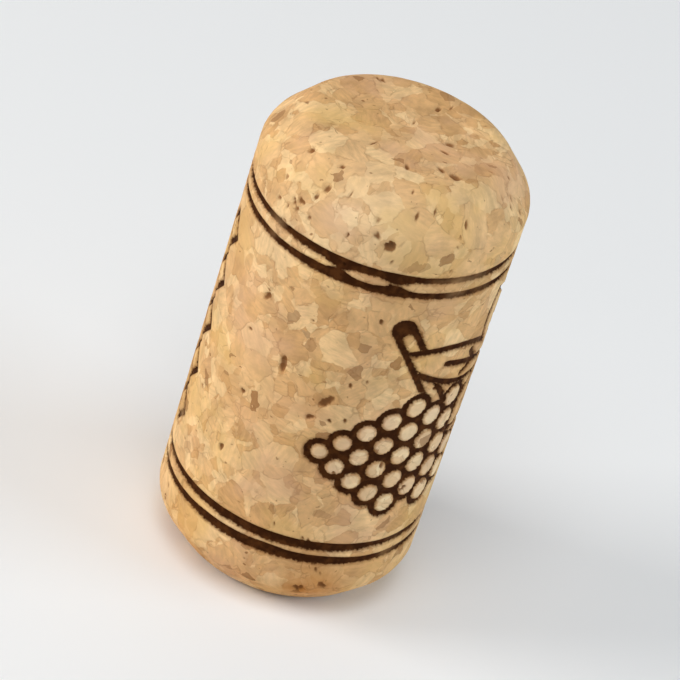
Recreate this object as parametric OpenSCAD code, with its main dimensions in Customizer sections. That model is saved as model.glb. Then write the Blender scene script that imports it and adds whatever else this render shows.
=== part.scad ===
// Agglomerated wine cork, standing on one end, +Z along its axis.
// One solid: a ground barrel with softened chamfers, and the marks that are burnt into its side:
// a pair of lines round each end, a bunch of grapes with a vine leaf, and a row of plain lozenges.

/* [Cork] */
// Diameter of the barrel
cork_d = 24; // [20:0.5:30]
// Length from end to end
cork_len = 45; // [40:0.5:60]
// Height of the chamfer at each end, along the axis
chamfer_h = 3.5; // [1.5:0.25:4.5]
// Inset of the chamfer at each end, across the axis
chamfer_w = 3; // [1.5:0.25:4.5]
// Radius that softens the two edges of each chamfer
edge_r = 2.2; // [0.5:0.1:2.4]

/* [Burnt lines] */
// Width of every burnt line
line_w = 0.62; // [0.4:0.02:0.8]
// Depth of every burnt mark below the barrel
brand_depth = 0.2; // [0.1:0.05:0.4]
// Distance from each end to the middle of the outer line of its pair
band_inset = 7; // [6:0.25:9]
// Distance between the middles of the two lines of a pair
band_pitch = 1.6; // [1:0.1:2.5]

/* [Bunch of grapes] */
// Distance round the barrel from the front to the berry at the tip
tip_arc = 1.3; // [-4:0.1:6]
// Height of the bunch's middle line above the middle of the barrel
bunch_rise = -3.7; // [-5:0.1:1]
// Distance between neighbouring berries of a column
berry_pitch = 2.65; // [2.4:0.05:2.8]
// Distance between the first two columns of berries
column_step = 1.75; // [1.6:0.05:2]
// Growth of that distance with each column
column_growth = 0.12; // [0:0.01:0.16]
// Number of columns of berries from the tip to the top
bunch_columns = 8; // [5:1:8]
// Number of berries in the fullest column
bunch_rows = 5; // [3:2:5]

/* [Vine leaf and cane] */
// Distance round the barrel from the front to the middle of the leaf
leaf_arc = 17; // [14:0.5:20]
// Distance from the middle of the leaf to the point where its veins meet
leaf_reach = 3.3; // [2:0.1:4.5]
// Height of the point where the veins meet above the middle of the barrel
leaf_rise = 3.6; // [2:0.1:4]
// Length of the longest lobe, whose tip lies behind the cane
leaf_len = 14.4; // [13.4:0.2:15]
// Width of the longest lobe, as a share of its length
long_share = 0.28; // [0.2:0.01:0.35]
// Direction of the longest lobe, anticlockwise from the right
leaf_turn = 165; // [160:1:172]
// Width of the other lobes, as a share of their length
lobe_share = 0.5; // [0.35:0.01:0.6]
// Width of the cane between the middles of its two edges
cane_w = 1.6; // [1:0.1:2.2]
// Length of the cane's burnt tip, past the middle of its round end
cane_tip = 0.6; // [0:0.1:1.5]
// Distance round the barrel from the front to the lower end of the cane
cane_low_arc = 24.2; // [22:0.1:26]
// Distance round the barrel from the front to the upper end of the cane
cane_high_arc = 5.2; // [4:0.1:8]
// Height of each end of the cane from the middle of the barrel
cane_rise = 10.2; // [8:0.1:10.5]
// Length of each end of the cane, as far as it reaches behind the leaf
cane_reach = 10; // [8:0.5:12]
// Direction of the cane, anticlockwise from the right
cane_turn = 125; // [110:1:140]

/* [Row of lozenges] */
// Distance round the barrel from the front to the row
row_arc = -16.2; // [-20:0.1:-12]
// Number of lozenges
row_count = 5; // [3:1:5]
// Distance between neighbouring lozenges
row_pitch = 4.8; // [4.4:0.1:5.6]
// Size of a lozenge from corner to corner, between the middles of its lines
lozenge_size = 3.4; // [2:0.1:4]
// Size of the small solid lozenge between two of them, from corner to corner
spacer_size = 1.2; // [0.6:0.1:1.4]

/* [Hidden] */
$fn = 96;

barrel_r = cork_d / 2;
middle = cork_len / 2;
core_r = barrel_r - brand_depth;
reach = 1;                // how far a cutter stands out of the barrel

// The chamfer's slope, and how far each rounded edge runs along its two sides
slope = atan2(chamfer_w, chamfer_h);
side_run = edge_r * tan(slope / 2);
face_run = edge_r * tan((90 - slope) / 2);

// The leaf's lobes: direction from the longest one, and length as a share of it
lobes = [[0, 1], [-49, 0.64], [66, 0.58], [-115, 0.44], [130, 0.57]];
vein_share = 0.66;        // length of a main vein, as a share of its lobe
side_vein_share = 0.13;   // length of a side vein, as a share of its lobe
side_vein_at = 0.36;      // where the side veins leave the main vein
side_vein_turn = 38;      // angle between a side vein and the main vein

function along(angle, length) = length * [cos(angle), sin(angle)];
function arc_angle(arc) = arc / barrel_r * 180 / PI;

// Berries: how many stand in a column, how large they are, and where the column is
function berries(column) = min(column + 1, bunch_rows - column % 2);
function step_at(column) = column_step + column_growth * column;
function berry_r(column) = (norm([step_at(column), berry_pitch / 2]) - line_w) / 2;
function column_arc(column) = column == 0 ? tip_arc : column_arc(column - 1) + step_at(column - 1);

// Places its children on the barrel: X runs round it, Y up and Z outwards
module on_barrel(arc, rise) {
    rotate([0, 0, arc_angle(arc)])
        translate([0, -barrel_r, middle + rise])
            rotate([90, 0, 0]) children();
}

// A cutter of the given outline, deeper than any mark
module stamp(arc, rise) {
    on_barrel(arc, rise)
        translate([0, 0, -barrel_r / 2])
            linear_extrude(barrel_r / 2 + reach) children();
}

// Half of the barrel's outline, from the middle of one end up to mid-length
module half_outline() {
    run = [sin(slope), cos(slope)];
    side_corner = [barrel_r, chamfer_h];
    face_corner = [barrel_r - chamfer_w, 0];
    polygon([
        [0, 0],
        [face_corner[0] - face_run, 0],
        face_corner + face_run * run,
        side_corner - side_run * run,
        [barrel_r, chamfer_h + side_run],
        [barrel_r, middle],
        [0, middle]
    ]);
    translate([face_corner[0] - face_run, edge_r]) circle(edge_r);
    translate([barrel_r - edge_r, chamfer_h + side_run]) circle(edge_r);
}

module barrel() {
    rotate_extrude() {
        half_outline();
        translate([0, cork_len]) mirror([0, 1]) half_outline();
    }
}

module band_line(height) {
    translate([0, 0, height - line_w / 2])
        cylinder(r = barrel_r + reach, h = line_w);
}

module band_lines() {
    for (inset = [band_inset, band_inset + band_pitch]) {
        band_line(inset);
        band_line(cork_len - inset);
    }
}

// One berry in every place of the bunch, larger by spread all round
module berries_at(spread) {
    for (column = [0 : bunch_columns - 1])
        for (place = [0 : berries(column) - 1])
            stamp(column_arc(column), bunch_rise + (place - (berries(column) - 1) / 2) * berry_pitch)
                circle(berry_r(column) + spread);
}

// A pointed lobe from the origin along X, widened by spread all round
module lobe(length, width, spread) {
    side_r = (length * length + width * width) / (4 * width);
    intersection() {
        translate([length / 2, side_r - width / 2]) circle(side_r + spread);
        translate([length / 2, width / 2 - side_r]) circle(side_r + spread);
    }
}

module leaf_outline(spread) {
    for (item = lobes) {
        length = leaf_len * item[1];
        share = item[0] == 0 ? long_share : lobe_share;
        rotate(leaf_turn + item[0]) lobe(length, share * length, spread);
    }
}

// A straight line with round ends, from the origin along X
module stroke(length, width) {
    translate([0, -width / 2]) square([length, width]);
    circle(width / 2);
    translate([length, 0]) circle(width / 2);
}

module veins() {
    for (item = lobes) {
        length = leaf_len * item[1];
        rotate(leaf_turn + item[0]) {
            stroke(vein_share * length, line_w);
            for (side = [-1, 1])
                translate([side_vein_at * length, 0])
                    rotate(side * side_vein_turn)
                        stroke(side_vein_share * length, line_w);
        }
    }
}

// Stamps its children at one end of the cane: X runs along it, from its tip
module at_cane(arc, rise, turn) {
    shift = along(turn, cane_reach / 2);
    stamp(arc + shift[0], rise + shift[1])
        rotate(turn) translate([-cane_reach / 2, 0]) children();
}

module at_low_end() {
    at_cane(cane_low_arc, -cane_rise, cane_turn) children();
}

module at_high_end() {
    at_cane(cane_high_arc, cane_rise, cane_turn + 180) children();
}

// Two edges that run on behind the leaf, with a tip that is burnt all over
module cane_outline() {
    difference() {
        stroke(cane_reach, cane_w + line_w);
        translate([cane_tip + (cane_w - line_w) / 2, 0]) stroke(cane_reach, cane_w - line_w);
    }
}

module cane_lines() {
    at_low_end() cane_outline();
    at_high_end() cane_outline();
}

// The leaf stops at the far edge of the cane's upper end, which hides the tip of its longest lobe
module leaf_stamp(spread) {
    hidden = 3 * cane_w;
    difference() {
        stamp(leaf_arc, leaf_rise) translate([leaf_reach, 0]) leaf_outline(spread);
        at_high_end()
            translate([0, line_w / 2 - cane_w / 2 - hidden]) square([cane_reach, hidden]);
    }
}

module leaf_lines() {
    difference() {
        leaf_stamp(line_w / 2);
        leaf_stamp(-line_w / 2);
    }
    stamp(leaf_arc, leaf_rise) translate([leaf_reach, 0]) veins();
}

// The leaf lies over the bunch, and both lie over the cane
module vine() {
    leaf_lines();
    difference() {
        berries_at(line_w);
        berries_at(0);
        leaf_stamp(line_w / 2);
    }
    difference() {
        cane_lines();
        berries_at(line_w);
        leaf_stamp(line_w / 2);
    }
}

module lozenge(size) {
    rotate(45) square(size / sqrt(2), center = true);
}

module lozenge_row() {
    for (place = [0 : row_count - 1]) {
        rise = (place - (row_count - 1) / 2) * row_pitch;
        stamp(row_arc, rise) difference() {
            lozenge(lozenge_size + line_w * sqrt(2));
            lozenge(lozenge_size - line_w * sqrt(2));
        }
        if (place > 0) stamp(row_arc, rise - row_pitch / 2) lozenge(spacer_size);
    }
}

// Everything burnt into the barrel, cut to an even depth by the core
module brand() {
    difference() {
        union() {
            band_lines();
            vine();
            lozenge_row();
        }
        cylinder(r = core_r, h = cork_len);
    }
}

module cork() {
    color("burlywood") difference() {
        barrel();
        brand();
    }
}

cork();
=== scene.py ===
"""Agglomerated wine cork: a ground barrel with burnt lines, a bunch of grapes and lozenges.

The cork stands on its lower end at the origin, with +Z along its axis and its front towards -Y.
Places on its side are given as an arc, the distance round the barrel from the front, and a rise,
the height above mid-length. Lengths are in metres.
"""

import math
import random

import bmesh
import bpy
import numpy as np
from bpy.props import FloatProperty, FloatVectorProperty, IntProperty, PointerProperty
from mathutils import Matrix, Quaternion, Vector


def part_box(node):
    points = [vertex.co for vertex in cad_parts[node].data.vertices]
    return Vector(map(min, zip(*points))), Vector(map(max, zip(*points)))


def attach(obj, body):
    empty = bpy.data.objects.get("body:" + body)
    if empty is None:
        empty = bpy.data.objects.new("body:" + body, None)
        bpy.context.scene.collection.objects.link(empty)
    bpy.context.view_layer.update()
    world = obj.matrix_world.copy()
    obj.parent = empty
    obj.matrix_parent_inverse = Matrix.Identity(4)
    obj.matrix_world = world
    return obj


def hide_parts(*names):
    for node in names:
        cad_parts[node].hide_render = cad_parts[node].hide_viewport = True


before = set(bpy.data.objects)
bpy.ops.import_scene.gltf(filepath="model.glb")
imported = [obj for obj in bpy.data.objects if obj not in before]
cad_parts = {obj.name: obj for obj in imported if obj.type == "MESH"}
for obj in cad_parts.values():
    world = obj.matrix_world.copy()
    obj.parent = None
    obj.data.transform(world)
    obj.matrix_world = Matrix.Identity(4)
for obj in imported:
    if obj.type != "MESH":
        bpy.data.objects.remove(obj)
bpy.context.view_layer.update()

bl_info = {
    "name": "Wine cork",
    "version": (1, 0, 0),
    "blender": (4, 5, 0),
    "location": "View3D > Sidebar > Cork",
    "description": "Models an agglomerated wine cork with marks burnt into its side",
    "category": "Object",
}

MM = 0.001
CORK_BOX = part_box("cork")


def size_of(axis):
    """Length of the cork's box along one axis."""
    return CORK_BOX[1][axis] - CORK_BOX[0][axis]


def length(name, default, description):
    """A length that the user can change, given in millimetres and kept in metres."""
    return FloatProperty(
        name=name, description=description, default=default * MM, unit="LENGTH", precision=5
    )


def colour(name, red, green, blue, description):
    """A colour that the user can change, given in the 0 to 255 values of a colour picker."""
    linear = [((c / 255 + 0.055) / 1.055) ** 2.4 for c in (red, green, blue)]
    return FloatVectorProperty(
        name=name, description=description, default=linear, subtype="COLOR", size=3, min=0, max=1
    )


# Settings


class BodySettings(bpy.types.PropertyGroup):
    diameter: FloatProperty(
        name="Diameter", description="Diameter of the barrel",
        default=size_of(0), unit="LENGTH", precision=5,
    )
    height: FloatProperty(
        name="Length", description="Length from end to end",
        default=size_of(2), unit="LENGTH", precision=5,
    )
    chamfer_height: length("Chamfer height", 3.5, "Height of each chamfer along the axis")
    chamfer_inset: length("Chamfer inset", 3, "Inset of each chamfer across the axis")
    edge_radius: length("Edge radius", 2.2, "Radius that softens the edges of each chamfer")
    relief: length("Relief", 0.05, "Depth of the soft unevenness of the ground surface")


class LineSettings(bpy.types.PropertyGroup):
    line_width: length("Line width", 0.62, "Width of every burnt line")
    depth: length("Depth", 0.2, "Depth of every burnt mark")
    band_inset: length("Band inset", 7, "Distance from each end to the outer line of its pair")
    band_pitch: length("Band pitch", 1.6, "Distance between the two lines of a pair")


class BunchSettings(bpy.types.PropertyGroup):
    tip_arc: length("Tip", 1.3, "Arc from the front to the berry at the tip")
    rise: length("Rise", -3.7, "Rise of the bunch's middle line")
    berry_pitch: length("Berry pitch", 2.65, "Distance between neighbouring berries of a column")
    column_step: length("Column step", 1.75, "Distance between the first two columns")
    column_growth: length("Growth", 0.12, "Growth of that distance with each column")
    columns: IntProperty(
        name="Columns", description="Columns of berries from the tip to the top", default=8
    )
    rows: IntProperty(name="Rows", description="Berries in the fullest column", default=5)


class LeafSettings(bpy.types.PropertyGroup):
    arc: length("Arc", 17, "Arc from the front to the middle of the leaf")
    reach: length("Reach", 3.3, "Distance from there to the point where the veins meet")
    rise: length("Rise", 3.6, "Rise of the point where the veins meet")
    lobe_length: length("Lobe length", 14.4, "Length of the longest lobe, to its hidden tip")
    long_share: FloatProperty(
        name="Long share", description="Width of the longest lobe as a share of its length",
        default=0.28,
    )
    turn: FloatProperty(
        name="Turn", description="Direction of the longest lobe, anticlockwise from the right",
        default=math.radians(165), unit="ROTATION",
    )
    lobe_share: FloatProperty(
        name="Lobe share", description="Width of the other lobes as a share of their length",
        default=0.5,
    )
    cane_width: length("Cane width", 1.6, "Width of the cane between its two edges")
    cane_tip: length("Cane tip", 0.6, "Length of the burnt tip, past the middle of its round end")
    cane_low_arc: length("Lower end", 24.2, "Arc from the front to the cane's lower end")
    cane_high_arc: length("Upper end", 5.2, "Arc from the front to the cane's upper end")
    cane_rise: length("Cane rise", 10.2, "Rise of the upper end, and fall of the lower one")
    cane_reach: length("Cane reach", 10, "Length of each end, as far as it reaches behind the leaf")
    cane_turn: FloatProperty(
        name="Cane turn", description="Direction of the cane, anticlockwise from the right",
        default=math.radians(125), unit="ROTATION",
    )


class RowSettings(bpy.types.PropertyGroup):
    arc: length("Arc", -16.2, "Arc from the front to the row of lozenges")
    count: IntProperty(name="Count", description="Number of lozenges", default=5)
    pitch: length("Pitch", 4.8, "Distance between neighbouring lozenges")
    lozenge: length("Lozenge", 3.4, "Size of a lozenge from corner to corner")
    spacer: length("Spacer", 1.2, "Size of the small solid lozenge between two of them")


class FinishSettings(bpy.types.PropertyGroup):
    granule: length("Granule", 2.3, "Size of the large cork granules")
    crumb: length("Crumb", 1.1, "Size of the small granules between them")
    cream: colour("Cream", 240, 202, 148, "Colour of the palest granules")
    tan: colour("Tan", 226, 181, 127, "Colour of most granules")
    brown: colour("Brown", 209, 161, 107, "Colour of the darkest granules")
    golden: colour("Golden", 229, 186, 112, "Colour that some areas drift to")
    rosy: colour("Rosy", 219, 173, 135, "Colour that other areas drift to")
    # The tone that paints the highlights, and also the paler insides of the berries
    berry_tone_and_highlight: colour("Glow", 162, 136, 110, "Tone that is added to the berries and the paler areas")
    # The colour of the stains, which also paints shade low on the left
    rust_and_shade: colour("Rust", 190, 118, 50, "Colour of the stains")
    bark: colour("Bark", 132, 84, 46, "Colour of the specks of bark")
    scorch: colour("Scorch", 138, 84, 40, "Colour of the scorched edge of a mark")
    char: colour("Char", 58, 29, 9, "Colour of a burnt mark")


class StageSettings(bpy.types.PropertyGroup):
    floor: colour("Floor", 246, 245, 243, "Colour of the floor and the backdrop")
    azimuth: FloatProperty(
        name="Azimuth", description="Direction of the camera, from the front towards the right",
        default=0, unit="ROTATION",
    )
    elevation: FloatProperty(
        name="Elevation", description="Height of the camera above the horizon",
        default=math.radians(34), unit="ROTATION",
    )
    lean: FloatProperty(
        name="Lean", description="How far the cork leans to the right in the picture",
        default=math.radians(18.2), unit="ROTATION",
    )
    distance: length("Distance", 330, "Distance of the camera from the middle of the cork")
    view_width: length("View width", 60, "Width of the picture at that distance")


# Modelling helpers


def edit(piece):
    """Enters edit mode on one piece with nothing selected."""
    bpy.ops.object.select_all(action="DESELECT")
    piece.select_set(True)
    bpy.context.view_layer.objects.active = piece
    bpy.ops.object.mode_set(mode="EDIT")
    bpy.ops.mesh.select_all(action="DESELECT")


def select_points(piece, test):
    """Selects the points of the piece in edit mode whose place passes the test."""
    bpy.ops.mesh.select_all(action="DESELECT")
    bpy.ops.mesh.select_mode(type="VERT")
    mesh = bmesh.from_edit_mesh(piece.data)
    for point in mesh.verts:
        point.select_set(test(point.co))
    mesh.select_flush_mode()
    bmesh.update_edit_mesh(piece.data)


def push_in(piece, name, weights, depth):
    """Presses the surface in along its normals, by the depth times each point's weight."""
    group = piece.vertex_groups.new(name=name)
    for index in np.flatnonzero(weights > 0.001):
        group.add([int(index)], float(weights[index]), "REPLACE")
    press = piece.modifiers.new(name, "DISPLACE")
    press.vertex_group = name
    press.strength = -depth
    press.mid_level = 0
    bpy.context.view_layer.objects.active = piece
    bpy.ops.object.modifier_apply(modifier=press.name)
    piece.vertex_groups.clear()


# Grains of the two patterns that leave the ground surface uneven
CLOUD_GRAIN = 4 * MM
CELL_GRAIN = 1.1 * MM


def roughen(piece, kind, grain, depth):
    """Presses the surface in by a cloudy or cellular pattern of the given grain."""
    texture = bpy.data.textures.new(kind.lower() + "_relief", kind)
    texture.noise_scale = grain
    wave = piece.modifiers.new("Relief", "DISPLACE")
    wave.texture = texture
    wave.texture_coords = "LOCAL"
    wave.strength = depth
    wave.mid_level = 1
    bpy.context.view_layer.objects.active = piece
    bpy.ops.object.modifier_apply(modifier=wave.name)


def keep(piece, name, values):
    """Keeps one number for each point of the piece, for its material to read."""
    layer = piece.data.attributes.new(name, "FLOAT", "POINT")
    layer.data.foreach_set("value", np.asarray(values, dtype=np.float32))


def ease(value, start, end):
    """0 at the start and 1 at the end, with a soft curve between."""
    share = np.clip((value - start) / (end - start), 0, 1)
    return share * share * (3 - 2 * share)


# The body, turned from half of its outline

# Distances between the rows of the mesh, which are finer where marks are burnt
CHAMFER_ROWS = 0.6 * MM
RIM_ROWS = 0.45 * MM
BAND_ROWS = 0.15 * MM
GAP_ROWS = 0.4 * MM
SIDE_ROWS = 0.165 * MM

# Height up to which the side is bare over the lower pair of lines. The upper half mirrors it
GAP_TOP = 10.7 * MM

# Distances between the columns of the mesh, from the front round to the front again
VINE_COLUMNS = 0.15 * MM
BACK_COLUMNS = 0.3 * MM
LOZENGE_COLUMNS = 0.17 * MM
FRONT_COLUMNS = 0.26 * MM

# How far the finer columns reach past the cane's lower end
VINE_MARGIN = 3.2 * MM

# What is nearer than this to a corner of the outline, or to the barrel, counts as lying on it
CORNER_REACH = 0.01 * MM

# Points nearer to each other than this are one
SAME_POINT = 0.001 * MM


def row_stops(body, lines):
    """Heights from the lower chamfer to mid-length, each with the row spacing below it."""
    band = lines.band_inset + lines.band_pitch / 2
    spread = lines.band_pitch / 2 + lines.line_width
    return [
        (band - spread, RIM_ROWS),
        (band + spread, BAND_ROWS),
        (GAP_TOP, GAP_ROWS),
        (body.height / 2, SIDE_ROWS),
    ]


def column_sectors(body, leaf, row):
    """Arcs from the front all the way round, each with the column spacing before it."""
    around = math.pi * body.diameter
    return [
        (leaf.cane_low_arc + VINE_MARGIN, VINE_COLUMNS),
        (around + row.arc - row.lozenge, BACK_COLUMNS),
        (around + row.arc + row.lozenge, LOZENGE_COLUMNS),
        (around, FRONT_COLUMNS),
    ]


def draw_outline(body, lines):
    """Draws half of the outline at the front, from the lower end's middle to the upper one's."""
    radius = body.diameter / 2
    face = radius - body.chamfer_inset
    half = [(0, 0), (face, 0), (radius, body.chamfer_height)]
    half += [(radius, height) for height, spacing in row_stops(body, lines)]
    corners = half + [(x, body.height - z) for x, z in reversed(half[:-1])]
    corners = [Vector((0, -x, z)) for x, z in corners]
    bpy.ops.mesh.primitive_plane_add(size=MM, location=corners[0])
    piece = bpy.context.object
    piece.name = piece.data.name = "cork_stopper"
    edit(piece)
    bpy.ops.mesh.select_all(action="SELECT")
    bpy.ops.mesh.merge(type="CENTER")
    for start, end in zip(corners, corners[1:]):
        bpy.ops.mesh.extrude_region_move(TRANSFORM_OT_translate={"value": end - start})
    return piece


def soften_chamfers(piece, body):
    """Rounds both corners of each chamfer to the edge radius."""
    slope = math.atan2(body.chamfer_inset, body.chamfer_height)
    radius = body.diameter / 2
    for corner, height, turn in (
        (radius, body.chamfer_height, slope),
        (radius - body.chamfer_inset, 0, math.pi / 2 - slope),
    ):
        places = [Vector((0, -corner, z)) for z in (height, body.height - height)]
        select_points(
            piece, lambda co: min((co - place).length for place in places) < CORNER_REACH
        )
        bpy.ops.mesh.bevel(
            offset=body.edge_radius * math.tan(turn / 2), segments=6, affect="VERTICES"
        )


def divide_outline(piece, body, lines):
    """Divides each straight run of the outline into rows."""
    radius = body.diameter / 2
    stops = row_stops(body, lines)

    def spacing_at(place):
        if -place.y < radius - CORNER_REACH:
            return CHAMFER_ROWS
        rise = min(place.z, body.height - place.z)
        return next(spacing for height, spacing in stops if rise < height)

    runs = []
    for edge in bmesh.from_edit_mesh(piece.data).edges:
        low, high = (point.co.copy() for point in edge.verts)
        cuts = round((high - low).length / spacing_at((low + high) / 2)) - 1
        if cuts > 0:
            runs.append((low, high, cuts))
    for low, high, cuts in runs:
        select_points(piece, lambda co: min((co - low).length, (co - high).length) < SAME_POINT)
        bpy.ops.mesh.subdivide(number_cuts=cuts)


def turn_body(piece, body, sectors):
    """Spins the outline round the axis, sector after sector, and closes the seam and the poles."""
    bpy.ops.mesh.select_all(action="SELECT")
    start = 0
    for end, spacing in sectors:
        bpy.ops.mesh.spin(
            steps=round((end - start) / spacing), angle=(end - start) / (body.diameter / 2),
            center=(0, 0, 0), axis=(0, 0, 1),
        )
        start = end
    bpy.ops.mesh.select_all(action="SELECT")
    bpy.ops.mesh.remove_doubles(threshold=SAME_POINT)
    bpy.ops.mesh.normals_make_consistent(inside=False)
    bpy.ops.object.mode_set(mode="OBJECT")
    bpy.ops.object.shade_smooth()


# The marks, each as a distance from the edge of the burnt area, below 0 inside it


class Skin:
    """The points of the cork's side, by their place on it."""

    def __init__(self, piece, body):
        places = np.empty(3 * len(piece.data.vertices), dtype=np.float32)
        piece.data.vertices.foreach_get("co", places)
        self.places = places.reshape(-1, 3).astype(float)
        self.radius = body.diameter / 2
        self.angle = np.arctan2(self.places[:, 0], -self.places[:, 1])
        self.rise = self.places[:, 2] - body.height / 2

    def seen_at(self, arc, rise, turn=0.0):
        """Places on the flat stamp that touches the side there, turned anticlockwise.

        The stamp reaches half of the radius deep, and what lies beyond it is far away.
        """
        angle = self.angle - arc / self.radius
        x = np.where(np.cos(angle) > 0.5, self.radius * np.sin(angle), 10 * self.radius)
        y = self.rise - rise
        return turned(x, y, turn)


def turned(x, y, turn):
    """The same places seen by an outline that is turned anticlockwise."""
    return x * math.cos(turn) + y * math.sin(turn), y * math.cos(turn) - x * math.sin(turn)


def disc(x, y, radius):
    """A disc round the origin."""
    return np.hypot(x, y) - radius


def stroke(x, y, length, width):
    """A line with round ends from the origin along X."""
    return np.hypot(x - np.clip(x, 0, length), y) - width / 2


def lozenge(x, y, size):
    """A square on its corner round the origin, of that size from corner to corner."""
    return (np.abs(x) + np.abs(y) - size / 2) / math.sqrt(2)


def lobe(x, y, reach, width):
    """A pointed lobe from the origin along X, between two arcs."""
    side = (reach**2 + width**2) / (4 * width)
    middle = side - width / 2
    return np.maximum(disc(x - reach / 2, y - middle, side), disc(x - reach / 2, y + middle, side))


def outlined(distance, width):
    """A line of that width along the edge of a form."""
    return np.abs(distance) - width / 2


def nearest(distances):
    """All the forms as one."""
    return np.minimum.reduce(list(distances))


def band_marks(skin, body, lines):
    """The two lines round each end."""
    outer = body.height / 2 - lines.band_inset
    return nearest(
        outlined(np.abs(skin.rise) - rise, lines.line_width)
        for rise in (outer, outer - lines.band_pitch)
    )


def berry_places(bunch, line_width):
    """Arc, rise and radius of every berry, column by column from the tip."""
    arc = bunch.tip_arc
    for column in range(bunch.columns):
        step = bunch.column_step + bunch.column_growth * column
        radius = (math.hypot(step, bunch.berry_pitch / 2) - line_width) / 2
        count = min(column + 1, bunch.rows - column % 2)
        for place in range(count):
            yield arc, bunch.rise + (place - (count - 1) / 2) * bunch.berry_pitch, radius
        arc += step


# The leaf's lobes: direction from the longest one in degrees, and length as a share of it
LOBES = ((0, 1.0), (-49, 0.64), (66, 0.58), (-115, 0.44), (130, 0.57))

# Veins, as shares of their lobe: length of the main one, and length and start of the side ones
VEIN_SHARE = 0.66
SIDE_VEIN_SHARE = 0.13
SIDE_VEIN_AT = 0.36
SIDE_VEIN_TURN = math.radians(38)


def leaf_marks(skin, leaf, width):
    """The leaf's whole blade, as a distance from its outline's middle, and its veins."""
    x, y = skin.seen_at(leaf.arc, leaf.rise)
    x = x - leaf.reach
    blades, veins = [], []
    for direction, share in LOBES:
        reach = leaf.lobe_length * share
        broad = (leaf.lobe_share if direction else leaf.long_share) * reach
        along, across = turned(x, y, leaf.turn + math.radians(direction))
        blades.append(lobe(along, across, reach, broad))
        veins.append(stroke(along, across, VEIN_SHARE * reach, width))
        for turn in (-SIDE_VEIN_TURN, SIDE_VEIN_TURN):
            branch = turned(along - SIDE_VEIN_AT * reach, across, turn)
            veins.append(stroke(*branch, SIDE_VEIN_SHARE * reach, width))
    return nearest(blades), nearest(veins)


def cane_marks(skin, leaf, width):
    """Both ends of the cane, and the side of the upper one where the leaf's tip is hidden."""
    canes = []
    half = leaf.cane_reach / 2
    for arc, rise, turn in (
        (leaf.cane_low_arc, -leaf.cane_rise, leaf.cane_turn),
        (leaf.cane_high_arc, leaf.cane_rise, leaf.cane_turn + math.pi),
    ):
        x, y = skin.seen_at(arc + half * math.cos(turn), rise + half * math.sin(turn), turn)
        inner = leaf.cane_width - width
        hollow = stroke(x + half - leaf.cane_tip - inner / 2, y, 2 * half, inner)
        canes.append(np.maximum(stroke(x + half, y, 2 * half, leaf.cane_width + width), -hollow))
    hidden = 1.5 * leaf.cane_width
    across = np.abs(y + leaf.cane_width / 2 - width / 2 + hidden) - hidden
    return nearest(canes), np.maximum(np.abs(x) - half, across)


def vine_marks(skin, lines, bunch, leaf):
    """The bunch with the leaf over it, and the cane behind both, save where it hides the leaf.

    The insides of the berries are given as well.
    """
    width = lines.line_width
    berries = nearest(
        disc(*skin.seen_at(arc, rise), radius)
        for arc, rise, radius in berry_places(bunch, width)
    )
    blade, veins = leaf_marks(skin, leaf, width)
    canes, hidden = cane_marks(skin, leaf, width)
    beside_leaf = np.minimum(width / 2 - blade, hidden)
    bunch_lines = np.maximum(berries - width, -berries)
    marks = nearest(
        [
            np.maximum(outlined(blade, width), -hidden),
            veins,
            np.maximum(bunch_lines, beside_leaf),
            np.maximum(np.maximum(canes, width - berries), beside_leaf),
        ]
    )
    return marks, np.maximum(berries, beside_leaf)


def row_marks(skin, lines, row):
    """A row of outlined lozenges with small solid ones between them."""
    marks = []
    for place in range(row.count):
        rise = (place - (row.count - 1) / 2) * row.pitch
        marks.append(outlined(lozenge(*skin.seen_at(row.arc, rise), row.lozenge), lines.line_width))
        if place:
            marks.append(lozenge(*skin.seen_at(row.arc, rise - row.pitch / 2), row.spacer))
    return nearest(marks)


# Rise of the middle of the upper pair of lines, in millimetres
PAIR = 14.7

# Places where the brand pressed unevenly: arc and rise in millimetres, their spreads, and the
# change in the press, which is 1 elsewhere
UNEVEN_PRESS = (
    (0.6, PAIR, 3.2, 1.6, 0.6),
    (-4.6, PAIR, 2.0, 1.6, 1.0),
    (-9.0, PAIR, 2.0, 1.6, -0.5),
    (-1.9, PAIR, 1.1, 0.8, 3.4),
    (3.2, PAIR, 1.1, 0.8, 3.2),
    (-4.0, -PAIR, 5.0, 1.6, 1.5),
    (4.5, -14.5, 4.0, 1.4, 1.4),
    (-0.5, -PAIR, 2.0, 0.8, 1.2),
    (9.5, PAIR, 3.6, 1.6, -0.6),
    (12.0, -PAIR, 3.0, 1.6, -0.45),
    (-16.0, -PAIR, 4.0, 1.6, -0.45),
    (15.0, 7.5, 3.0, 2.6, -0.4),
    (24.5, -6.0, 2.5, 4.0, -0.45),
    (33.0, PAIR, 6.0, 1.6, -0.5),
    (-30.0, PAIR, 5.0, 1.6, -0.35),
    (-16.2, -9.6, 2.6, 2.4, -0.4),
)

# How far a mark widens for each unit of press over 1, and the most units that count
BLEED = 0.14 * MM
MOST_BLEED = 4

# Width of the sloping wall of a mark, and of the soft edge inside a berry
MARK_WALL = 0.16 * MM
BERRY_EDGE = 0.3 * MM

# A lighter press than this sinks a mark as deep as this one
LEAST_PRESS = 0.2


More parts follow.
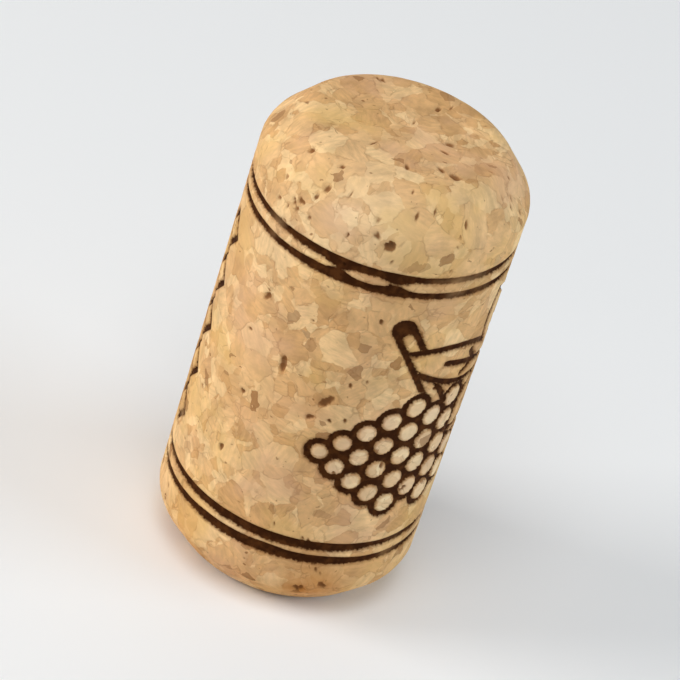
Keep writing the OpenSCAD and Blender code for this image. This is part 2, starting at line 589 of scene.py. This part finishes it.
def burn_marks(piece, body, lines, bunch, leaf, row):
    """Presses the marks into the side and keeps how near each point is to them."""
    skin = Skin(piece, body)
    vine, berries = vine_marks(skin, lines, bunch, leaf)
    marks = nearest([band_marks(skin, body, lines), vine, row_marks(skin, lines, row)])
    press = np.ones_like(marks)
    for arc, rise, wide, tall, change in UNEVEN_PRESS:
        x, y = skin.seen_at(arc * MM, rise * MM)
        press += change * np.exp(-((x / (wide * MM)) ** 2) - (y / (tall * MM)) ** 2)
    marks -= BLEED * np.clip(press - 1, 0, MOST_BLEED)
    keep(piece, "mark_distance", marks / MM)
    keep(piece, "in_berry", ease(-berries, 0, BERRY_EDGE))
    keep(piece, "press", press)
    depth = np.clip(press, LEAST_PRESS, 1) ** 0.5
    push_in(piece, "marks", depth * ease(-marks, -MARK_WALL / 2, MARK_WALL / 2), lines.depth)


# Pores, rusty stains with a little painted shade, and painted highlights

# The pores that stand out, in millimetres: arc, height, length, width, depth and turn in degrees
LARGE_PORES = (
    (1.5, 41.0, 0.85, 0.7, 0.6, 20),
    (-4.0, 26.0, 1.7, 0.55, 0.3, 95),
    (0.5, 24.0, 1.6, 0.65, 0.35, 50),
    (-0.5, 22.0, 0.8, 0.45, 0.25, 25),
    (-7.5, 14.5, 0.8, 0.4, 0.3, 80),
    (-7.5, 31.0, 1.0, 0.45, 0.3, 60),
    (3.5, 27.0, 0.6, 0.3, 0.2, 50),
    (3.5, 3.5, 1.0, 0.6, 0.4, 10),
    (5.5, 4.0, 0.9, 0.5, 0.35, -25),
)

# Pores all over the cork: their number, their usual size and how much it varies, the share of
# them that lies on the two ends, and the seed of their places
SCATTER_COUNT = 170
SCATTER_SIZE = 0.32 * MM
SCATTER_SPREAD = 0.35
SCATTER_AT_ENDS = 0.22
SCATTER_SEED = 11

# Small pores that crowd on the upper chamfer, in millimetres of arc and of height below the top,
# the number of those on the end above it, and the seed of both
CROWD_COUNT = 14
CROWD_ARCS = (-10, 4)
CROWD_DEPTH = 5.5
END_COUNT = 7
UPPER_SEED = 5

# Shares of a pore's reach where its wall begins and where its floor does, and how many lengths
# from its middle it has surely ended
PORE_RIM = 1.35
PORE_FLOOR = 0.5
PORE_END = 1.5

# Rusty stains and painted highlights, in millimetres: arc, height, reach and strength
STAINS_AND_SHADE = (
    (4.5, 3.5, 2.6, 0.8),
    (-1.5, 2.5, 1.8, 0.4),
    # Partly painted shade: darker low on the left, with a warm tone of its own as well
    (-10.0, 3.0, 3.5, 0.3),
    (0.0, 23.0, 1.5, 0.3),
    (21.0, 38.5, 2.2, 0.35),
    (-28.0, 8.0, 2.4, 0.4),
)
# Painted highlights: lighter on the upper chamfer at the front and on the sides
PAINTED_HIGHLIGHTS = (
    (-2.8, 42.0, 4.5, 0.55),
    (2.4, 42.0, 3.5, 0.3),
    (-9.5, 35.0, 5.0, 0.25),
    (30.0, 12.0, 5.0, 0.25),
)


def skin_point(body, arc, height):
    """The point of the side or of a chamfer at that arc and height."""
    over = max(body.chamfer_height - height, height + body.chamfer_height - body.height, 0)
    reach = body.diameter / 2 - over * body.chamfer_inset / body.chamfer_height
    angle = arc / (body.diameter / 2)
    return Vector((reach * math.sin(angle), -reach * math.cos(angle), height))


def shade_areas(piece, body):
    """Keeps how far each point is stained, with some painted shade, and how much painted highlight
    it has.
    """
    skin = Skin(piece, body)
    for name, areas in (("stain_and_shade", STAINS_AND_SHADE), ("painted_highlight", PAINTED_HIGHLIGHTS)):
        total = np.zeros(len(skin.rise))
        for arc, height, reach, strength in areas:
            offset = skin.places - np.array(skin_point(body, arc * MM, height * MM))
            total += strength * np.exp(-(offset**2).sum(axis=1) / (reach * MM) ** 2)
        keep(piece, name, total)


def scattered_pores(body):
    """Pores all over the cork, as places with their length, width, depth and turn."""
    chance = random.Random(SCATTER_SEED)
    radius = body.diameter / 2
    for _ in range(SCATTER_COUNT):
        angle = chance.uniform(-math.pi, math.pi)
        size = SCATTER_SIZE * math.exp(chance.gauss(0, SCATTER_SPREAD))
        shape = (size, size * chance.uniform(0.4, 0.9), 0.7 * size, chance.uniform(0, math.pi))
        if chance.random() < SCATTER_AT_ENDS:
            reach = radius * math.sqrt(chance.random())
            height = chance.choice((0, body.height))
        else:
            reach = radius
            height = chance.uniform(0, body.height)
        yield Vector((reach * math.sin(angle), -reach * math.cos(angle), height)), shape


def small_shape(chance):
    """Length, width, depth and turn of a small pore."""
    long = chance.uniform(0.35, 0.75) * MM
    return long, long * chance.uniform(0.4, 0.8), 0.42 * long, chance.uniform(0, math.pi)


def upper_pores(body):
    """The small pores that crowd on the upper chamfer, and those of the end above it."""
    chance = random.Random(UPPER_SEED)
    for _ in range(CROWD_COUNT):
        height = body.height - chance.uniform(0, CROWD_DEPTH) * MM
        yield skin_point(body, chance.uniform(*CROWD_ARCS) * MM, height), small_shape(chance)
    for _ in range(END_COUNT):
        reach = (body.diameter / 2 - body.chamfer_inset) * math.sqrt(chance.random())
        angle = chance.uniform(-math.pi, math.pi)
        place = Vector((reach * math.sin(angle), -reach * math.cos(angle), body.height))
        yield place, small_shape(chance)


def large_pores(body):
    """The pores that stand out, in the same form."""
    for arc, height, *shape, turn in LARGE_PORES:
        place = skin_point(body, arc * MM, height * MM)
        yield place, (*(size * MM for size in shape), math.radians(turn))


def point_normals(piece):
    """The direction in which the surface faces at each point."""
    normals = np.empty(3 * len(piece.data.vertices), dtype=np.float32)
    piece.data.vertices.foreach_get("normal", normals)
    return normals.reshape(-1, 3)


def flattened(offset, normal, turn):
    """Offsets from a pore's middle as places on the surface, seen along the pore."""
    # On the ends the axis of the cork can't serve as upright
    upright = Vector((0, 1, 0) if abs(normal.z) > 0.7 else (0, 0, 1))
    sideways = normal.cross(upright).normalized()
    return turned(offset @ np.array(sideways), offset @ np.array(normal.cross(sideways)), turn)


def ragged_reach(x, y, long, wide, number):
    """Distance from a pore's middle, where 1 is its ragged edge, uneven in its own way."""
    bearing = np.arctan2(y, x)
    ragged = 1 + 0.16 * np.sin(3 * bearing + number) + 0.1 * np.sin(5 * bearing + 2 * number)
    return np.hypot(x / (long / 2), y / (wide / 2)) / ragged


def open_pores(piece, body):
    """Sinks the pores and keeps how deep each point lies in them."""
    skin = Skin(piece, body)
    normals = point_normals(piece)
    pores = [*scattered_pores(body), *upper_pores(body), *large_pores(body)]
    sunk = np.zeros(len(skin.rise))
    for number, (place, (long, wide, depth, turn)) in enumerate(pores):
        index = int(np.argmin(((skin.places - np.array(place)) ** 2).sum(axis=1)))
        offset = skin.places - skin.places[index]
        near = np.flatnonzero((offset**2).sum(axis=1) < (PORE_END * long) ** 2)
        x, y = flattened(offset[near], Vector(normals[index]), turn)
        reach = ragged_reach(x, y, long, wide, number)
        sunk[near] = np.maximum(sunk[near], depth * ease(-reach, -PORE_RIM, -PORE_FLOOR))
    deepest = sunk.max()
    keep(piece, "pore_depth", sunk / MM)
    push_in(piece, "pores", sunk / deepest, deepest)


# Materials


class Finish:
    """A new material and the short ways to add nodes to it."""

    def __init__(self, name):
        self.material = bpy.data.materials.new(name)
        self.material.use_nodes = True
        self.tree = self.material.node_tree
        self.tree.nodes.clear()

    def add(self, kind, inputs, **settings):
        """Adds a node with its settings; each input is a value or another node's output."""
        node = self.tree.nodes.new("ShaderNode" + kind)
        for name, value in settings.items():
            setattr(node, name, value)
        for name, value in inputs.items():
            if isinstance(value, bpy.types.NodeSocket):
                self.tree.links.new(value, node.inputs[name])
            else:
                node.inputs[name].default_value = value
        return node

    def math(self, operation, first, second=0.0):
        """One step of arithmetic on two values."""
        return self.add("Math", {0: first, 1: second}, operation=operation).outputs[0]

    def scaled(self, value, low, high, start=0.0, end=1.0):
        """Takes the value from low to high over to start to end, held at both."""
        inputs = {"Value": value, "From Min": low, "From Max": high, "To Min": start, "To Max": end}
        return self.add("MapRange", inputs, interpolation_type="SMOOTHSTEP").outputs["Result"]

    def mixed(self, factor, first, second, blend="MIX"):
        """The first colour with the second one laid over it."""
        inputs = {0: factor, 6: first, 7: second}
        return self.add("Mix", inputs, data_type="RGBA", blend_type=blend).outputs[2]

    def noise(self, vector, grain, detail=2.0, roughness=0.5):
        """Cloudy noise of the given grain in millimetres."""
        inputs = {"Vector": vector, "Scale": 1 / grain, "Detail": detail, "Roughness": roughness}
        return self.add("TexNoise", inputs)

    def cells(self, vector, size, feature="F1"):
        """Irregular cells of the given size in millimetres."""
        return self.add("TexVoronoi", {"Vector": vector, "Scale": 1 / size}, feature=feature)

    def parts(self, vector):
        """The three numbers of a vector or of a cell's colour."""
        return self.add("SeparateXYZ", {"Vector": vector}).outputs

    def kept(self, name):
        """A number that the piece keeps for each of its points."""
        node = self.add("Attribute", {}, attribute_name=name, attribute_type="GEOMETRY")
        return node.outputs["Fac"]


def rgba(settings_colour):
    """A colour of the settings, opaque."""
    return (*settings_colour, 1)


class CorkFinish(Finish):
    """The finish of the cork, built up layer by layer on one colour.

    Its patterns are sized in millimetres.
    """

    def __init__(self, settings):
        super().__init__("agglomerated_cork")
        self.settings = settings
        place = self.add("TexCoord", {}).outputs["Object"]
        scale = (1 / MM, 1 / MM, 1 / MM)
        self.place = self.add("Mapping", {"Vector": place, "Scale": scale}).outputs["Vector"]

    def lay(self, factor, tone, blend="MIX"):
        """Lays a tone over the colour."""
        self.colour = self.mixed(factor, self.colour, tone, blend)

    def shade_by(self, pattern, low, high, darkest, brightest):
        """Darkens and brightens the colour by a pattern."""
        shade = self.scaled(pattern, low, high, darkest, brightest)
        shade = self.add("CombineColor", {0: shade, 1: shade, 2: shade}).outputs[0]
        self.lay(0.8, shade, "MULTIPLY")

    def granules(self):
        """Granules with wandering edges, where small ones fill the gaps between large ones."""
        wander = self.noise(self.place, 1.6, detail=3).outputs["Color"]
        wander = self.add("VectorMath", {0: wander, 1: (0.5, 0.5, 0.5)}, operation="SUBTRACT")
        wander = self.add("VectorMath", {0: wander.outputs[0], "Scale": 1.5}, operation="SCALE")
        bent = self.add("VectorMath", {0: self.place, 1: wander.outputs[0]}, operation="ADD")
        self.bent = bent.outputs[0]
        self.large = self.cells(self.bent, self.settings.granule / MM).outputs["Color"]
        small = self.cells(self.bent, self.settings.crumb / MM).outputs["Color"]
        self.large_parts = self.parts(self.large)
        self.small_parts = self.parts(small)
        self.is_small = self.scaled(self.large_parts[0], 0.58, 0.6)
        tones = {0: self.is_small, 2: self.large_parts[1], 3: self.small_parts[1]}
        ramp = self.add("ValToRGB", {"Fac": self.add("Mix", tones).outputs[0]})
        stops = ramp.color_ramp.elements
        stops[0].position, stops[0].color = 0.0, rgba(self.settings.brown)
        stops[1].position, stops[1].color = 1.0, rgba(self.settings.cream)
        middle = stops.new(0.45)
        middle.color = rgba(self.settings.tan)
        self.colour = ramp.outputs["Color"]

    def streaks(self):
        """Growth streaks that run a different way in every granule."""
        angle = self.math("MULTIPLY", self.large_parts[2], 6.28)
        turn = {"Vector": self.place, "Axis": self.large, "Angle": angle}
        spun = self.add("VectorRotate", turn).outputs["Vector"]
        spun = self.add("Mapping", {"Vector": spun, "Scale": (1, 1, 4)}).outputs["Vector"]
        self.streak = self.noise(spun, 1.3, detail=4, roughness=0.6).outputs["Fac"]
        self.shade_by(self.streak, 0.35, 0.65, 0.86, 1.08)

    def drifts(self):
        """Soft mottling, and a slow drift between golden, rosy and brown."""
        self.mottle = self.noise(self.place, 2.6, detail=5, roughness=0.6).outputs["Fac"]
        self.shade_by(self.mottle, 0.32, 0.68, 0.82, 1.12)
        drift = self.noise(self.place, 6, detail=3).outputs["Fac"]
        self.lay(self.scaled(drift, 0.5, 0.72, 0.0, 0.5), rgba(self.settings.golden))
        self.lay(self.scaled(drift, 0.3, 0.5, 0.5, 0.0), rgba(self.settings.rosy))
        slow = self.noise(self.place, 11, detail=2).outputs["Fac"]
        self.lay(self.scaled(slow, 0.5, 0.7, 0.0, 0.4), rgba(self.settings.brown))

    def areas(self):
        """Rusty stains with some painted shade, painted highlights, and the paler insides of
        berries.
        """
        patchy = self.scaled(self.mottle, 0.3, 0.6, 1.2, 0.7)
        # Stains, one of which also paints shade low on the left
        self.lay(self.math("MULTIPLY", self.kept("stain_and_shade"), patchy), rgba(self.settings.rust_and_shade))
        # Paler insides of the berries, and painted highlights
        berry_or_highlight = self.math("MAXIMUM", self.kept("in_berry"), self.kept("painted_highlight"))
        self.lay(berry_or_highlight, rgba(self.settings.berry_tone_and_highlight), "SCREEN")

    def cell_edges(self, size, width):
        """The edges between the granules of one size."""
        edge = self.cells(self.bent, size / MM, "DISTANCE_TO_EDGE").outputs["Distance"]
        return self.scaled(edge, 0.0, width, 1.0, 0.0)

    def joints(self):
        """Thin dark joints between granules, broken here and there."""
        small = self.math("MULTIPLY", self.cell_edges(self.settings.crumb, 0.07), self.is_small)
        joint = self.math("MAXIMUM", self.cell_edges(self.settings.granule, 0.05), small)
        broken = self.scaled(self.noise(self.place, 1.1).outputs["Fac"], 0.42, 0.62)
        self.joint = self.math("MULTIPLY", joint, broken)
        self.lay(self.math("MULTIPLY", self.joint, 0.3), rgba(self.settings.bark))

    def dots(self, place, size, core, rim, part, rarity):
        """A dot in a few of the cells of that size, solid at its core and gone at its rim."""
        cell = self.cells(place, size)
        near = self.scaled(cell.outputs["Distance"], core, rim, 1.0, 0.0)
        chosen = self.scaled(self.parts(cell.outputs["Color"])[part], rarity, rarity + 0.02)
        return self.math("MULTIPLY", near, chosen)

    def bark(self):
        """Bark: whole small granules, specks that are pressed flat, and fine dust."""
        bark = rgba(self.settings.bark)
        self.lay(self.scaled(self.small_parts[0], 0.965, 0.99, 0.0, 0.55), bark)
        squeeze = {"Vector": self.bent, "Rotation": (0.4, 0.9, 0.2), "Scale": (1, 1, 1.9)}
        squeezed = self.add("Mapping", squeeze).outputs["Vector"]
        self.speck = self.dots(squeezed, 1.5, 0.07, 0.17, 0, 0.8)
        self.lay(self.math("MULTIPLY", self.speck, 0.75), bark)
        dust = self.dots(self.bent, 0.62, 0.08, 0.2, 1, 0.88)
        self.lay(self.math("MULTIPLY", dust, 0.5), bark)

    def pores(self):
        """Pores, which are dark inside."""
        pore = self.scaled(self.kept("pore_depth"), 0.03, 0.22)
        self.lay(self.math("MULTIPLY", pore, 0.85), rgba(self.settings.bark))

    def burns(self):
        """Burnt marks with ragged, scorched edges, after how hard the brand pressed."""
        char, scorch = rgba(self.settings.char), rgba(self.settings.scorch)
        ragged = self.noise(self.place, 0.35, detail=3, roughness=0.6).outputs["Fac"]
        ragged = self.math("MULTIPLY", self.math("SUBTRACT", ragged, 0.5), 0.34)
        distance = self.math("ADD", self.kept("mark_distance"), ragged)
        uneven = self.noise(self.place, 2.2, detail=3).outputs["Fac"]
        press = self.math("ADD", self.kept("press"), self.math("SUBTRACT", uneven, 0.6))
        press = self.scaled(press, 0.0, 0.8, 0.4, 1.0)
        halo = self.scaled(distance, 0.0, 0.3, 0.42, 0.0)
        self.lay(self.math("MULTIPLY", halo, press), scorch)
        burn = self.scaled(distance, -0.09, 0.07, 1.0, 0.0)
        sooty = self.noise(self.place, 0.8, detail=3).outputs["Fac"]
        sooty = self.mixed(self.scaled(sooty, 0.4, 0.7, 0.0, 0.2), char, scorch)
        self.lay(self.math("MULTIPLY", burn, press), sooty)

    def surface(self):
        """A matt surface with the relief that is too fine to model."""
        grain = self.noise(self.place, 0.25, detail=4, roughness=0.6).outputs["Fac"]
        height = self.math("MULTIPLY", grain, 0.5)
        height = self.math("SUBTRACT", height, self.math("MULTIPLY", self.joint, 0.5))
        height = self.math("SUBTRACT", height, self.math("MULTIPLY", self.speck, 0.6))
        height = self.math("ADD", height, self.math("MULTIPLY", self.streak, 0.5))
        bump = self.add("Bump", {"Strength": 0.6, "Distance": 0.06 * MM, "Height": height})
        look = {"Base Color": self.colour, "Roughness": 0.8, "Specular IOR Level": 0.04}
        look["Normal"] = bump.outputs["Normal"]
        shader = self.add("BsdfPrincipled", look)
        self.add("OutputMaterial", {"Surface": shader.outputs["BSDF"]})


def cork_finish(settings):
    """Ground granules of many tones with specks of bark, scorched and charred at the marks."""
    finish = CorkFinish(settings)
    finish.granules()
    finish.streaks()
    finish.drifts()
    finish.areas()
    finish.joints()
    finish.bark()
    finish.pores()
    finish.burns()
    finish.surface()
    return finish.material


def floor_finish(settings):
    """A plain matt floor."""
    finish = Finish("plain_floor")
    shader = finish.add(
        "BsdfPrincipled",
        {"Base Color": rgba(settings.floor), "Roughness": 0.9, "Specular IOR Level": 0.1},
    )
    finish.add("OutputMaterial", {"Surface": shader.outputs["BSDF"]})
    return finish.material


# The stage, in metres

FLOOR_SIZE = 6

# Soft lights: name, place, size, power in watts and tint
LIGHTS = (
    ("key_light", (-0.73, -0.16, 0.3), 0.35, 3.9, (1, 1, 1)),
    ("fill_light", (0.75, 0, 0.3), 0.5, 3.1, (0.72, 0.86, 1)),
    ("top_light", (-0.05, -0.29, 0.74), 0.5, 2.75, (1, 1, 1)),
    ("back_light", (-0.1, 0.6, 0.55), 0.5, 0.4, (1, 1, 1)),
)
SKY_COLOUR = (0.95, 0.97, 1.0, 1)
SKY_STRENGTH = 0.18


def add_floor(stage):
    """A wide plain floor."""
    bpy.ops.object.select_all(action="DESELECT")
    bpy.ops.mesh.primitive_plane_add(size=FLOOR_SIZE)
    floor = bpy.context.object
    floor.name = "floor"
    floor.data.materials.append(floor_finish(stage))


def add_lights(middle):
    """The soft lights, which all face the middle of the cork."""
    for name, place, size, power, tint in LIGHTS:
        bpy.ops.object.light_add(type="AREA", location=place)
        light = bpy.context.object
        light.name = name
        light.data.size = size
        light.data.energy = power
        light.data.color = tint
        light.rotation_euler = (middle - light.location).to_track_quat("-Z", "Y").to_euler()


def set_sky(scene):
    """An even pale sky."""
    world = scene.world or bpy.data.worlds.new("sky")
    scene.world = world
    world.use_nodes = True
    background = world.node_tree.nodes["Background"]
    background.inputs["Color"].default_value = SKY_COLOUR
    background.inputs["Strength"].default_value = SKY_STRENGTH


def add_camera(scene, stage, middle):
    """The camera, rolled so that the cork leans in the picture."""
    back = Vector(
        (
            math.sin(stage.azimuth) * math.cos(stage.elevation),
            -math.cos(stage.azimuth) * math.cos(stage.elevation),
            math.sin(stage.elevation),
        )
    )
    bpy.ops.object.camera_add(location=middle + back * stage.distance)
    camera = bpy.context.object
    camera.name = "camera"
    aim = (-back).to_track_quat("-Z", "Y") @ Quaternion((0, 0, 1), stage.lean)
    camera.rotation_euler = aim.to_euler()
    camera.data.lens = camera.data.sensor_width * stage.distance / stage.view_width
    camera.data.clip_start = 10 * MM
    scene.camera = camera


# Operators


class CORK_OT_add_cork(bpy.types.Operator):
    """Turns the cork, burns its marks, opens its pores and gives it its finish"""

    bl_idname = "cork.add_cork"
    bl_label = "Add the cork"
    bl_options = {"REGISTER", "UNDO"}

    def execute(self, context):
        scene = context.scene
        body, lines = scene.cork_body, scene.cork_lines
        leaf, row = scene.cork_leaf, scene.cork_row
        piece = draw_outline(body, lines)
        soften_chamfers(piece, body)
        divide_outline(piece, body, lines)
        turn_body(piece, body, column_sectors(body, leaf, row))
        burn_marks(piece, body, lines, scene.cork_bunch, leaf, row)
        shade_areas(piece, body)
        open_pores(piece, body)
        roughen(piece, "CLOUDS", CLOUD_GRAIN, body.relief)
        roughen(piece, "VORONOI", CELL_GRAIN, body.relief / 2)
        piece.data.materials.append(cork_finish(scene.cork_finish))
        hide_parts("cork")
        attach(piece, "root")
        return {"FINISHED"}


class CORK_OT_set_stage(bpy.types.Operator):
    """Sets the floor, the lights and the camera"""

    bl_idname = "cork.set_stage"
    bl_label = "Set the stage"
    bl_options = {"REGISTER", "UNDO"}

    def execute(self, context):
        scene = context.scene
        stage = scene.cork_stage
        middle = Vector((0, 0, scene.cork_body.height / 2))
        add_floor(stage)
        add_lights(middle)
        set_sky(scene)
        add_camera(scene, stage, middle)
        scene.view_settings.view_transform = "Standard"
        return {"FINISHED"}


class CORK_PT_panel(bpy.types.Panel):
    """Lists the steps and the settings"""

    bl_idname = "CORK_PT_panel"
    bl_label = "Wine cork"
    bl_space_type = "VIEW_3D"
    bl_region_type = "UI"
    bl_category = "Cork"

    def draw(self, context):
        """Draws a button for each step and a box for each group of settings."""
        layout = self.layout
        for step in STEPS:
            layout.operator(step.bl_idname)
        for name, group in SETTINGS.items():
            box = layout.box()
            settings = getattr(context.scene, name)
            for prop in group.__annotations__:
                box.prop(settings, prop)


SETTINGS = {
    "cork_body": BodySettings,
    "cork_lines": LineSettings,
    "cork_bunch": BunchSettings,
    "cork_leaf": LeafSettings,
    "cork_row": RowSettings,
    "cork_finish": FinishSettings,
    "cork_stage": StageSettings,
}
STEPS = (CORK_OT_add_cork, CORK_OT_set_stage)


def register():
    """Registers the classes and gives the scene their settings."""
    for cls in (*SETTINGS.values(), *STEPS, CORK_PT_panel):
        bpy.utils.register_class(cls)
    for name, group in SETTINGS.items():
        setattr(bpy.types.Scene, name, PointerProperty(type=group))


def unregister():
    """Takes the settings and the classes away again."""
    for name in SETTINGS:
        delattr(bpy.types.Scene, name)
    for cls in reversed((*SETTINGS.values(), *STEPS, CORK_PT_panel)):
        bpy.utils.unregister_class(cls)


def main():
    """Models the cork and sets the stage."""
    register()
    bpy.ops.cork.add_cork()
    bpy.ops.cork.set_stage()


if __name__ == "__main__":
    main()
